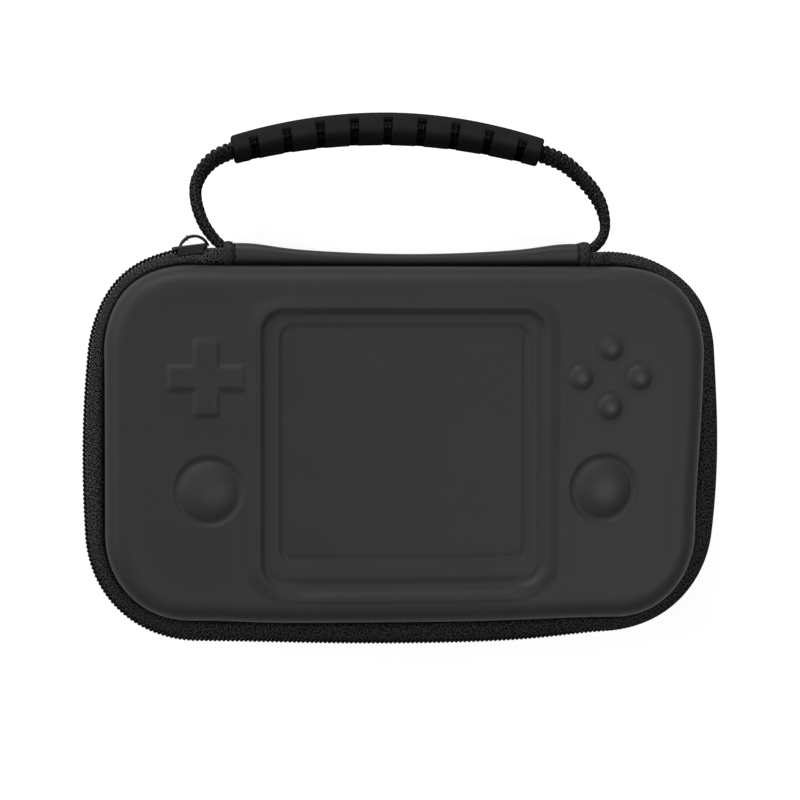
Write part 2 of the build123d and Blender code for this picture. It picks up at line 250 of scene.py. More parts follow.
# Mesh helpers
def make_mesh(name, points, faces, uvs=None, parts=None, smooth=True):
    """New mesh object from points in millimetres, with cloth coordinates and material numbers."""
    mesh = bpy.data.meshes.new(name)
    scaled = np.asarray(points, float) * MM
    mesh.from_pydata(scaled.tolist(), [], [tuple(int(i) for i in f) for f in faces])
    if uvs is not None:
        layer = mesh.uv_layers.new(name="weave")
        index = np.zeros(len(mesh.loops), np.int32)
        mesh.loops.foreach_get("vertex_index", index)
        layer.data.foreach_set("uv", np.asarray(uvs, np.float32)[index].ravel())
    if parts is not None:
        mesh.polygons.foreach_set("material_index", np.asarray(parts, np.int32))
    mesh.polygons.foreach_set("use_smooth", [smooth] * len(mesh.polygons))
    mesh.update()
    mesh.validate()
    piece = bpy.data.objects.new(name, mesh)
    bpy.context.scene.collection.objects.link(piece)
    return piece


def grid_faces(rows, columns, close_rows=False, close_columns=False, first=0, flip=False):
    """Quads of a grid of points stored row by row."""
    faces = []
    for r in range(rows if close_rows else rows - 1):
        r2 = (r + 1) % rows
        for c in range(columns if close_columns else columns - 1):
            c2 = (c + 1) % columns
            quad = (r * columns + c, r * columns + c2, r2 * columns + c2, r2 * columns + c)
            quad = tuple(first + i for i in quad)
            faces.append(quad[::-1] if flip else quad)
    return faces


def tube_faces(rows, columns, first=0, flip=False):
    """Faces of a tube stored row by row, with both ends capped."""
    last = first + (rows - 1) * columns
    faces = grid_faces(rows, columns, close_columns=True, first=first)
    faces += [tuple(range(first, first + columns))[::-1], tuple(range(last, last + columns))]
    return [f[::-1] for f in faces] if flip else faces


def unit(rows):
    """Rows of vectors brought to length 1."""
    return rows / np.linalg.norm(rows, axis=1)[:, None]


def resample(stops, lengths, values):
    """Values along a line, read at the given lengths."""
    return np.column_stack([np.interp(stops, lengths, column) for column in np.transpose(values)])


def mirrored(half):
    """Whole section from its upper half, which ends on the middle plane."""
    return half + [(y, 2 * mid_height - z) for y, z in half[::-1][1:]]


def ease_weights(ease, step):
    """Reach and weights of a bell that eases evenly spaced points."""
    reach = int(3 * ease / step)
    weights = np.exp(-((np.arange(-reach, reach + 1) * step / ease) ** 2) / 2)
    return reach, weights / weights.sum()


def smooth_step(value):
    """0 below 0, 1 above 1, and a smooth ramp between."""
    t = np.clip(value, 0.0, 1.0)
    return t * t * (3 - 2 * t)


def box_distance(x, y, half_x, half_y, radius):
    """Signed distance to a rounded rectangle, negative inside."""
    qx = np.abs(x) - (half_x - radius)
    qy = np.abs(y) - (half_y - radius)
    outside = np.hypot(np.maximum(qx, 0), np.maximum(qy, 0))
    return outside + np.minimum(np.maximum(qx, qy), 0) - radius


def eased_curve(points, ease, step=0.05):
    """Dense places and heights of a line through a few points, with its corners eased."""
    places = np.arange(points[0][0], points[-1][0], step)
    heights = np.interp(places, *zip(*points))
    reach, weights = ease_weights(ease, step)
    return places, np.convolve(np.pad(heights, reach, mode="edge"), weights, mode="valid")


def rounded_section(half_first, half_second, fullness, count):
    """Rounded box section: evenly spaced points and their lengths along the outline."""
    angles = np.linspace(0, 2 * math.pi, 1441) + math.pi / 2
    c, n = np.cos(angles), np.sin(angles)
    dense = np.column_stack([
        np.sign(c) * np.abs(c) ** (2 / fullness) * half_first,
        np.sign(n) * np.abs(n) ** (2 / fullness) * half_second,
    ])
    lengths = along_lengths(dense, closed=False)
    stops = np.linspace(0, lengths[-1], count, endpoint=False)
    return resample(stops, lengths, dense), stops


def settle(places):
    """Places of the front half after its soft seat."""
    places = np.asarray(places, float)
    moved = places.copy()
    for (x, y), shift, spread in settles:
        near = np.exp(-((places[:, 0] - x) ** 2 + (places[:, 1] - y) ** 2) / spread**2)
        moved = moved + near[:, None] * np.array(shift)
    return moved


# Outlines: points and outward normals, clockwise from the middle of the top edge
def arc_run(centre, radius, start, stop, count):
    """Points and normals along an arc."""
    outs = [(math.cos(a), math.sin(a)) for a in np.linspace(start, stop, count)]
    return [(centre[0] + radius * c, centre[1] + radius * s) for c, s in outs], outs


def straight_run(start, stop, out, count):
    """Points and normals along a straight edge."""
    return np.linspace(start, stop, count).tolist(), [out] * count


def join_runs(runs):
    """One closed loop from runs that each end where the next one starts."""
    points, normals = [], []
    for places, outs in runs:
        points += places[:-1]
        normals += outs[:-1]
    return np.array(points, float), np.array(normals, float)


def rim_loop(side_count, corner_count, long_count):
    """Rim outline: each point with its outward normal, in eight runs."""
    half_x, half_y, r = rim_length / 2, rim_width / 2, rim_radius
    cx, cy = half_x - r, half_y - r
    quarter = math.pi / 2
    return join_runs([
        straight_run((-cx, half_y), (cx, half_y), (0, 1), long_count),
        arc_run((cx, cy), r, quarter, 0, corner_count),
        straight_run((half_x, cy), (half_x, -cy), (1, 0), side_count),
        arc_run((cx, -cy), r, 0, -quarter, corner_count),
        straight_run((cx, -half_y), (-cx, -half_y), (0, -1), long_count),
        arc_run((-cx, -cy), r, -quarter, -math.pi, corner_count),
        straight_run((-half_x, -cy), (-half_x, cy), (-1, 0), side_count),
        arc_run((-cx, cy), r, math.pi, quarter, corner_count),
    ])


def zip_loop(side_count, corner_count, long_count):
    """Zip outline through the tips of the teeth, in runs that match those of the rim."""
    long_low = zip_half_width - long_arc_radius
    side_low = zip_half_length - side_arc_radius
    cx, cy = zip_corner
    r = zip_corner_radius
    quarter = math.pi / 2
    wide = abs(quarter - zip_corner_from)
    tall = abs(math.pi - zip_corner_to)
    return join_runs([
        arc_run((0, long_low), long_arc_radius, quarter + wide, quarter - wide, long_count),
        arc_run((cx, cy), r, quarter - wide, tall, corner_count),
        arc_run((side_low, 0), side_arc_radius, tall, -tall, side_count),
        arc_run((cx, -cy), r, -tall, -quarter + wide, corner_count),
        arc_run((0, -long_low), long_arc_radius, -quarter + wide, -quarter - wide, long_count),
        arc_run((-cx, -cy), r, -quarter - wide, -math.pi + tall, corner_count),
        arc_run((-side_low, 0), side_arc_radius, math.pi + tall, math.pi - tall, side_count),
        arc_run((-cx, cy), r, math.pi - tall, quarter + wide, corner_count),
    ])


def along_lengths(points, closed=True):
    """Length along a polyline at each of its points."""
    following = np.roll(points, -1, axis=0) if closed else points[1:]
    steps = np.linalg.norm((following - points) if closed else (following - points[:-1]), axis=1)
    lengths = np.concatenate([[0], np.cumsum(steps)])
    return lengths[:-1] if closed else lengths


# Materials
def new_material(name):
    """Node material with a principled shader; returns the material, its node tree and the shader."""
    made = bpy.data.materials.new(name)
    made.use_nodes = True
    tree = made.node_tree
    shader = next(n for n in tree.nodes if n.type == "BSDF_PRINCIPLED")
    return made, tree, shader


def coordinates(tree, kind):
    """Texture coordinate output: Object is in metres, UV in millimetres of cloth."""
    return tree.nodes.new("ShaderNodeTexCoord").outputs[kind]


def noise(tree, coordinate, scale, detail=3.0, roughness=0.55):
    node = tree.nodes.new("ShaderNodeTexNoise")
    node.inputs["Scale"].default_value = scale
    node.inputs["Detail"].default_value = detail
    node.inputs["Roughness"].default_value = roughness
    tree.links.new(coordinate, node.inputs["Vector"])
    return node.outputs["Fac"]


def calc(tree, operation, first, second=None, third=None):
    """Math node on numbers or sockets."""
    node = tree.nodes.new("ShaderNodeMath")
    node.operation = operation
    for socket, value in zip(node.inputs, (first, second, third)):
        if value is None:
            continue
        if isinstance(value, (int, float)):
            socket.default_value = value
        else:
            tree.links.new(value, socket)
    return node.outputs[0]


def ramp(tree, factor, stops):
    """Colour ramp through greys or colours at the given places."""
    node = tree.nodes.new("ShaderNodeValToRGB")
    elements = node.color_ramp.elements
    while len(elements) < len(stops):
        elements.new(0.5)
    for element, (place, colour) in zip(elements, stops):
        element.position = place
        element.color = (*colour, 1.0)
    tree.links.new(factor, node.inputs["Fac"])
    return node.outputs["Color"]


def map_range(tree, factor, source=(0.0, 1.0), target=(0.0, 1.0)):
    """Map range node from one stretch of values to another."""
    node = tree.nodes.new("ShaderNodeMapRange")
    for socket, value in zip(("From Min", "From Max", "To Min", "To Max"), (*source, *target)):
        node.inputs[socket].default_value = value
    tree.links.new(factor, node.inputs["Value"])
    return node


def spread(tree, factor, low, high):
    """Maps 0 to 1 onto low to high."""
    return map_range(tree, factor, target=(low, high)).outputs["Result"]


def axes(tree, coordinate):
    """The three parts of a coordinate."""
    node = tree.nodes.new("ShaderNodeSeparateXYZ")
    tree.links.new(coordinate, node.inputs[0])
    return node.outputs


def bump(tree, shader, height, depth, strength=1.0):
    """Bump of a height from 0 to 1 that stands for a depth in metres."""
    node = tree.nodes.new("ShaderNodeBump")
    node.inputs["Strength"].default_value = strength
    node.inputs["Distance"].default_value = depth
    tree.links.new(height, node.inputs["Height"])
    tree.links.new(node.outputs["Normal"], shader.inputs["Normal"])


def grey(value):
    return (value, value, value)


def skin_material(
    name, dark, light, rough, specular, grain_scale, grain_depth, cloud_scale, gloss_zone=None
):
    """Moulded or coated skin with a fine grain and slow changes of tone; a gloss zone keeps walls matt."""
    made, tree, shader = new_material(name)
    place = coordinates(tree, "Object")
    cloud = noise(tree, place, cloud_scale, 4.0)
    fine = noise(tree, place, grain_scale, 2.0)
    tone = calc(tree, "MULTIPLY_ADD", fine, 0.35, calc(tree, "MULTIPLY", cloud, 0.65))
    tree.links.new(ramp(tree, tone, [(0.3, grey(dark)), (0.7, grey(light))]), shader.inputs["Base Color"])
    tree.links.new(spread(tree, cloud, rough - 0.05, rough + 0.05), shader.inputs["Roughness"])
    shader.inputs["Specular IOR Level"].default_value = specular
    if gloss_zone:
        off = calc(tree, "ABSOLUTE", calc(tree, "SUBTRACT", axes(tree, place)["Z"], mid_height * MM))
        zone = map_range(tree, off, (gloss_zone[0] * MM, gloss_zone[1] * MM), (0.0, specular))
        drawn = tree.nodes.new("ShaderNodeAttribute")
        drawn.attribute_name = "polish"
        gain = calc(tree, "MULTIPLY_ADD", drawn.outputs["Fac"], polish_gain, 1.0)
        gloss = calc(tree, "MULTIPLY", zone.outputs["Result"], gain)
        tree.links.new(gloss, shader.inputs["Specular IOR Level"])
    bump(tree, shader, fine, grain_depth)
    return made


def twill_material(
    name, dark, light, pitch, band, depth, rough=0.85, specks=0.9, painted_shade=None, painted_edge_highlight=None, contrast=1.0
):
    """Woven cloth in herringbone: UV runs in millimetres along and across the cloth.

    A stretch across the cloth can take painted shade, which lifts over it away from the seam; a place across
    it can take a pale line of painted highlight.
    """
    made, tree, shader = new_material(name)
    weave = coordinates(tree, "UV")
    parts = axes(tree, weave)
    zig = calc(tree, "PINGPONG", parts["Y"], band)
    fuzz = noise(tree, weave, 1.8, 2.0, 0.6)
    drift = calc(tree, "MULTIPLY", fuzz, 0.5 * pitch)
    diagonal = calc(tree, "ADD", calc(tree, "ADD", parts["X"], zig), drift)
    yarn = calc(tree, "SINE", calc(tree, "MULTIPLY", diagonal, 2 * math.pi / pitch))
    cross = calc(tree, "SINE", calc(tree, "MULTIPLY", parts["Y"], 2 * math.pi / (0.8 * pitch)))
    mixed = calc(tree, "MULTIPLY_ADD", cross, 0.25, yarn)
    height = calc(tree, "MULTIPLY_ADD", mixed, 0.4, 0.5)
    tone = calc(tree, "MULTIPLY_ADD", mixed, 0.4 * contrast, 0.5)
    speck = calc(tree, "MULTIPLY_ADD", calc(tree, "SUBTRACT", fuzz, 0.5), specks, tone)
    # Painted shade: the cloth is darkened over the given stretch next to the seam, where the shell's lip
    # shades it.
    if painted_shade:
        fade = map_range(tree, parts["Y"], painted_shade)
        fade.interpolation_type = "SMOOTHSTEP"
        speck = calc(tree, "MULTIPLY", speck, fade.outputs["Result"])
    # Painted highlight: a pale line across the cloth where its rounded outer edge catches the light.
    if painted_edge_highlight:
        near = calc(tree, "ABSOLUTE", calc(tree, "SUBTRACT", parts["Y"], painted_edge_highlight))
        glow = calc(tree, "MAXIMUM", calc(tree, "SUBTRACT", 1.0, calc(tree, "MULTIPLY", near, 3.0)), 0.0)
        speck = calc(tree, "MULTIPLY_ADD", glow, 0.6, speck)
    tree.links.new(ramp(tree, speck, [(0.15, grey(dark)), (0.85, grey(light))]), shader.inputs["Base Color"])
    tree.links.new(spread(tree, fuzz, rough - 0.1, rough + 0.1), shader.inputs["Roughness"])
    shader.inputs["Specular IOR Level"].default_value = 0.0
    bump(tree, shader, height, depth)
    return made


def knit_material(name, dark, light, scale):
    """Lining cloth: small knitted loops over the whole inside."""
    made, tree, shader = new_material(name)
    place = coordinates(tree, "Object")
    loops = tree.nodes.new("ShaderNodeTexVoronoi")
    loops.inputs["Scale"].default_value = scale
    loops.inputs["Randomness"].default_value = 0.35
    tree.links.new(place, loops.inputs["Vector"])
    fuzz = noise(tree, place, scale * 2.5, 2.0)
    tone = calc(tree, "MULTIPLY_ADD", fuzz, 0.5, calc(tree, "MULTIPLY", loops.outputs["Distance"], 0.6))
    tree.links.new(ramp(tree, tone, [(0.2, grey(light)), (0.75, grey(dark))]), shader.inputs["Base Color"])
    tree.links.new(spread(tree, fuzz, 0.8, 0.95), shader.inputs["Roughness"])
    shader.inputs["Specular IOR Level"].default_value = 0.15
    shader.inputs["Sheen Weight"].default_value = 0.25
    bump(tree, shader, calc(tree, "SUBTRACT", 1.0, loops.outputs["Distance"]), 0.0003, 0.6)
    return made


shell_skin = skin_material(
    "shell_skin", 0.0228, 0.0268, 0.42, 0.065, 5200.0, 0.00003, 45.0, (gloss_low, gloss_high)
)
lining_knit = knit_material("lining_knit", 0.010, 0.022, 900.0)
# The tape carries painted shade next to the shell's rim and a line of painted highlight near its outer edge.
tape_twill = twill_material("tape_twill", 0.003, 0.058, 0.85, 1.6, 0.0003, 0.85, 3.2, (1.3, 4.2), 7.3, 0.4)
binding_twill = twill_material("binding_twill", 0.006, 0.022, 0.8, 1.2, 0.00015)
webbing_yarn = twill_material("webbing_yarn", 0.001, 0.042, 1.1, 0.75, 0.0002, 0.8, 2.5, contrast=0.8)
hem_twill = twill_material("hem_twill", 0.012, 0.046, 0.7, 0.7, 0.0002, 0.85, 2.0, contrast=0.4)
# Slot floors: the strap inside, painted far darker than its own weave as shade deep in the slots.
slot_painted_shade = twill_material("slot_painted_shade", 0.0008, 0.004, 0.65, 0.75, 0.0001)
coil_nylon = skin_material("coil_nylon", 0.002, 0.005, 0.4, 0.1, 9000.0, 0.00001, 900.0)
strip_skin = skin_material("strip_skin", 0.014, 0.018, 0.45, 0.16, 4200.0, 0.00003, 120.0)
grip_rubber = skin_material("grip_rubber", 0.0125, 0.0165, 0.55, 0.0, 3800.0, 0.00002, 220.0)
lacquer = skin_material("lacquer", 0.006, 0.011, 0.25, 0.16, 6000.0, 0.000008, 500.0)
thread = twill_material("thread", 0.010, 0.030, 0.5, 0.5, 0.0001, 0.7)


# Camera, lights and floor
cam_data = bpy.data.cameras.new("camera")
camera = bpy.data.objects.new("camera", cam_data)
bpy.context.scene.collection.objects.link(camera)
aim_out = Vector((-math.sin(camera_turn), 0, math.cos(camera_turn)))
cam_x = Vector((math.cos(camera_turn), 0, math.sin(camera_turn)))
cam_y = Vector((0, 1, 0)) * math.cos(camera_nod) - aim_out * math.sin(camera_nod)
cam_z = Vector((0, 1, 0)) * math.sin(camera_nod) + aim_out * math.cos(camera_nod)
turn = Matrix((cam_x, cam_y, cam_z)).transposed().to_4x4()
camera.matrix_world = Matrix.Translation(Vector(camera_place) * MM) @ turn
cam_data.lens = camera_lens
cam_data.sensor_width = camera_sensor
cam_data.clip_start = 0.01
cam_data.clip_end = 50.0
bpy.context.scene.camera = camera
bpy.context.scene.view_settings.view_transform = "Standard"


def soft_light(name, place, target, width, height, power):
    """Rectangular soft box aimed at a point."""
    data = bpy.data.lights.new(name, "AREA")
    data.shape = "RECTANGLE"
    data.size = width
    data.size_y = height
    data.energy = power
    lamp = bpy.data.objects.new(name, data)
    bpy.context.scene.collection.objects.link(lamp)
    lamp.location = place
    lamp.rotation_mode = "QUATERNION"
    lamp.rotation_quaternion = (Vector(target) - Vector(place)).to_track_quat("-Z", "Y")


soft_light("key_top", (-0.35, 1.0, 0.55), (0, 0.03, 0.02), 0.9, 0.6, 15.5)
soft_light("fill_left", (-0.9, 0.2, 0.6), (0, 0.02, 0.02), 0.6, 0.8, 5.0)
soft_light("over_front", (0.27, -0.11, 0.85), (0.02, 0.0, 0.03), 0.28, 0.28, 2.8)

ambient_level = 0.145
floor_glow = 0.84
floor_white = 0.3


def seen_directly(tree):
    """1 for camera, mirror and glass rays, 0 for light that falls on other surfaces."""
    path = tree.nodes.new("ShaderNodeLightPath")
    both = calc(tree, "MAXIMUM", path.outputs["Is Camera Ray"], path.outputs["Is Glossy Ray"])
    return calc(tree, "MAXIMUM", both, path.outputs["Is Transmission Ray"])


world = bpy.data.worlds.new("studio")
bpy.context.scene.world = world
world.use_nodes = True
sky = world.node_tree
sky_back = next(n for n in sky.nodes if n.type == "BACKGROUND")
sky_out = next(n for n in sky.nodes if n.type == "OUTPUT_WORLD")
sky_white = sky.nodes.new("ShaderNodeBackground")
sky_white.inputs["Color"].default_value = (1, 1, 1, 1)
sky_white.inputs["Strength"].default_value = 1.0
sky_back.inputs["Color"].default_value = (1, 1, 1, 1)
sky_back.inputs["Strength"].default_value = ambient_level
sky_mix = sky.nodes.new("ShaderNodeMixShader")
sky.links.new(seen_directly(sky), sky_mix.inputs["Fac"])
sky.links.new(sky_back.outputs[0], sky_mix.inputs[1])
sky.links.new(sky_white.outputs[0], sky_mix.inputs[2])
sky.links.new(sky_mix.outputs[0], sky_out.inputs["Surface"])

floor_material, floor_tree, floor_shader = new_material("floor_paper")
floor_shader.inputs["Base Color"].default_value = (floor_white, floor_white, floor_white, 1)
floor_shader.inputs["Roughness"].default_value = 0.95
floor_shader.inputs["Specular IOR Level"].default_value = 0.0
floor_shader.inputs["Emission Color"].default_value = (1, 1, 1, 1)
glow = calc(floor_tree, "MULTIPLY", seen_directly(floor_tree), floor_glow)
floor_tree.links.new(glow, floor_shader.inputs["Emission Strength"])
floor_mesh = bpy.data.meshes.new("floor")
floor_half = 6.0
floor_corners = [(floor_half * x, floor_half * y, 0) for x, y in ((-1, -1), (1, -1), (1, 1), (-1, 1))]
floor_mesh.from_pydata(floor_corners, [], [(0, 1, 2, 3)])
floor_mesh.materials.append(floor_material)
floor = bpy.data.objects.new("floor", floor_mesh)
floor.location = (0, 0, -0.0002)
bpy.context.scene.collection.objects.link(floor)


# Shells: the face is a grid for the relief, and rings carry it over the edge, down the wall and inside
shell_rise = case_depth - front_rim
edge_cut = face_radius * math.tan((math.pi / 2 - draft) / 2)
wall_inset = lip_reach + shell_rise * math.tan(draft)
face_half_x = rim_length / 2 - wall_inset - edge_cut
face_half_y = rim_width / 2 - wall_inset - edge_cut
face_corner = rim_radius - wall_inset - edge_cut
groove_curve = eased_curve(groove_section, border_ease)
groove_low_curve = eased_curve(groove_section_low, border_ease)
screen_curve = eased_curve(screen_section, border_ease)
button_sides = ((1, 0), (-1, 0), (0, 1), (0, -1))
button_places = [
    (button_centre[0] + ox * button_offset, button_centre[1] + oy * button_offset) for ox, oy in button_sides
]


def dome(reach, radius, lift, moat, moat_width):
    """Raised dome in a shallow ring."""
    ratio = np.minimum(reach / radius, 1)
    return lift * (1 - ratio**dome_power) - moat * (1 - smooth_step((reach - radius) / moat_width))


def front_polish(x, y):
    """How much the skin is drawn smooth over the domes."""
    polish = np.zeros_like(x)
    for bx, by in button_places:
        reach = np.hypot(x - bx, y - by) / button_radius
        polish = np.maximum(polish, smooth_step((polish_reach - reach) / polish_reach))
    for sx, sy in stick_places:
        reach = np.hypot(x - sx, y - sy) / stick_radius
        polish = np.maximum(polish, 0.5 * smooth_step((1.1 * polish_reach - reach) / polish_reach))
    return polish


def front_relief(x, y):
    """Height of the embossed face above its plain level."""
    inward = -box_distance(x, y, face_half_x, face_half_y, face_corner)
    height = -dish_depth * smooth_step(inward / dish_reach)
    away = box_distance(x - groove_centre[0], y - groove_centre[1], *groove_half, groove_radius)
    faded = smooth_step((inward + edge_fade[0]) / edge_fade[1])
    low_y = smooth_step((groove_centre[1] - y - groove_half[1] + groove_low_band[0]) / groove_low_band[1])
    low_x = smooth_step((groove_low_reach[0] - np.abs(x - groove_centre[0])) / groove_low_reach[1])
    low_share = low_y * low_x
    border = (1 - low_share) * np.interp(away, *groove_curve) + low_share * np.interp(away, *groove_low_curve)
    height = height + np.where(away > 0, border * faded, border)
    away = box_distance(x - screen_centre[0], y - screen_centre[1], *screen_half, screen_radius)
    height = height + np.interp(away, *screen_curve)
    dx, dy = np.abs(x - cross_centre[0]), np.abs(y - cross_centre[1])
    arm_x = box_distance(dx, dy, cross_half, cross_arm_half, cross_corner)
    arm_y = box_distance(dx, dy, cross_arm_half, cross_half, cross_corner)
    height = height + cross_lift * smooth_step((cross_spread - np.minimum(arm_x, arm_y)) / cross_slope)
    height = height - hub_depth * np.exp(-((np.hypot(dx, dy) / hub_reach) ** 2))
    for bx, by in button_places:
        reach = np.hypot(x - bx, y - by)
        height = height + dome(reach, button_radius, button_lift, button_moat, button_moat_width)
    for sx, sy in stick_places:
        reach = np.hypot(x - sx, y - sy)
        height = height + dome(reach, stick_radius, stick_lift, stick_moat, stick_moat_width)
    return height


def face_rows(half_y, corner, step, corner_count):
    """Row positions from bottom to top, close together where the corners turn flat."""
    swing = np.sin(np.linspace(0, math.pi / 2, corner_count))
    straight = half_y - corner
    count = max(2, int(round(2 * straight / step)) + 1)
    low = -(straight + corner * swing[::-1])
    middle = np.linspace(-straight, straight, count)[1:-1]
    high = straight + corner * swing
    return np.concatenate([low, middle, high])


def half_row(y, half_x, half_y, corner):
    """Half length of a rounded rectangle at a height y."""
    over = np.maximum(np.abs(y) - (half_y - corner), 0)
    return half_x - corner + np.sqrt(np.maximum(corner**2 - over**2, 0))


def shell_profile():
    """Rings from the face's edge to the ceiling inside: outward reach, height above the rim and material."""
    rings = []
    full = edge_cut + wall_inset
    slope = math.tan(draft)
    bow_reach = full - flare_reach
    for angle in np.linspace(90, 0, 16)[1:]:
        c, n = math.cos(math.radians(angle)), math.sin(math.radians(angle))
        drop = bow_drop * (1 - n ** (2 / bow_fullness))
        rings.append((bow_reach * c ** (2 / bow_fullness), shell_rise - drop, 0))
    for height, flare in ((5.0, 0.02), (2.6, 0.05), (1.8, 0.15), (1.2, 0.45), (0.8, 0.8)):
        rings.append((bow_reach + flare * flare_reach, height, 0))
    rings += [(full, 0.45, 0), (full - 0.06, 0.2, 0), (full - 0.25, 0.02, 0)]
    inner = full - lip_reach - wall
    rings += [(full - 1.2, 0.0, 1), (inner + 0.5, 0.0, 1), (inner + 0.1, 0.15, 1), (inner - 0.03, 0.5, 1)]
    inner_radius = max(face_radius - wall, 2.0)
    ceiling = shell_rise - wall
    start = ceiling - inner_radius * (1 - math.sin(draft))
    for height in np.linspace(2.0, start, 4):
        rings.append((inner - height * slope, height, 1))
    centre = inner - ceiling * slope - inner_radius * math.tan((math.pi / 2 - draft) / 2)
    for angle in np.linspace(4, 90, 8)[1:]:
        a = math.radians(angle)
        rings.append((centre + inner_radius * math.cos(a), ceiling - inner_radius * (1 - math.sin(a)), 1))
    rings += [(centre - 0.6, ceiling, 1), (centre - 2.0, ceiling, 1)]
    return rings


def make_shell(name, relief, front, step, body, node):
    """One moulded half, front or mirrored to the back."""
    ys = face_rows(face_half_y, face_corner, step, 26)
    columns = int(round(2 * face_half_x / step)) + 1
    share = np.linspace(-1, 1, columns)
    halves = half_row(ys, face_half_x, face_half_y, face_corner)
    x = halves[:, None] * share[None, :]
    y = np.repeat(ys[:, None], columns, axis=1)
    z = shell_rise + relief(x, y)
    points = np.stack([x, y, z], axis=-1).reshape(-1, 3)
    rows = len(ys)
    faces = grid_faces(rows, columns)
    parts = [0] * len(faces)
    order = [(0, c) for c in range(columns - 1)]
    order += [(r, columns - 1) for r in range(rows - 1)]
    order += [(rows - 1, c) for c in range(columns - 1, 0, -1)]
    order += [(r, 0) for r in range(rows - 1, 0, -1)]
    ring = np.array([r * columns + c for r, c in order])
    base = points[ring]
    limits = np.array([face_half_x - face_corner, face_half_y - face_corner])
    out = unit(base[:, :2] - np.clip(base[:, :2], -limits, limits))
    count = len(ring)
    blocks = [points]
    first_ring = ring
    total = len(points)
    for reach, height, part in shell_profile():
        block = np.column_stack([base[:, :2] + out * reach, np.full(count, height)])
        blocks.append(block)
        fresh = np.arange(total, total + count)
        for i in range(count):
            j = (i + 1) % count
            faces.append((first_ring[i], fresh[i], fresh[j], first_ring[j]))
            parts.append(part)
        first_ring = fresh
        total += count
    faces.append(tuple(first_ring))
    parts.append(1)
    points = np.concatenate(blocks)
    polish = np.zeros(len(points))
    if front:
        polish[: rows * columns] = front_polish(x, y).reshape(-1)
        points[:, :2] = settle(points[:, :2])
        points[:, 2] = front_rim + points[:, 2]
    else:
        points[:, 2] = case_depth - front_rim - points[:, 2]
        faces = [f[::-1] for f in faces]
    piece = make_mesh(name, points, faces, parts=parts)
    piece.data.attributes.new("polish", "FLOAT", "POINT").data.foreach_set("value", polish.astype(np.float32))
    piece.data.materials.append(shell_skin)
    piece.data.materials.append(lining_knit)
    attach(piece, body)
    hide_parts(node)


def back_relief(x, y):
    """The plain half sinks a little towards its middle."""
    inward = -box_distance(x, y, face_half_x, face_half_y, face_corner)
    return -back_dish_depth * smooth_step(inward / back_dish_reach)


make_shell("front_shell_skin", front_relief, True, 0.53, "lid", "front_shell")
make_shell("back_shell_skin", back_relief, False, 2.4, "base", "back_shell")


# Zip tapes: woven bands from under each rim out to the teeth
run_counts = (120, 60, 260)
rim_points, rim_normals = rim_loop(*run_counts)
zip_points, zip_normals = zip_loop(*run_counts)
top_run = run_counts[2] - 1
zip_swell = zip_push + (zip_push_top - zip_push) * smooth_step((zip_points[:, 1] - 40.0) / 14.0)
for swell_x, swell_y, swell, swell_spread in corner_swell:
    off = (zip_points[:, 0] - swell_x) ** 2 + (zip_points[:, 1] - swell_y) ** 2
    zip_swell = zip_swell + swell * np.exp(-off / swell_spread**2)
zip_points = zip_points + zip_normals * zip_swell[:, None]
zip_lengths = along_lengths(zip_points)
zip_full = zip_lengths[-1] + np.linalg.norm(zip_points[-1] - zip_points[0])


def open_run(start_x, stop_x):
    """Indexes of the loop clockwise from start_x on the top edge round to stop_x on the top edge."""
    count = len(zip_points)
    corner = run_counts[1] - 1
    first = next(i for i in range(top_run + corner) if zip_points[i, 0] >= start_x)
    return list(range(first, count)) + [i for i in range(top_run) if zip_points[i, 0] <= stop_x]


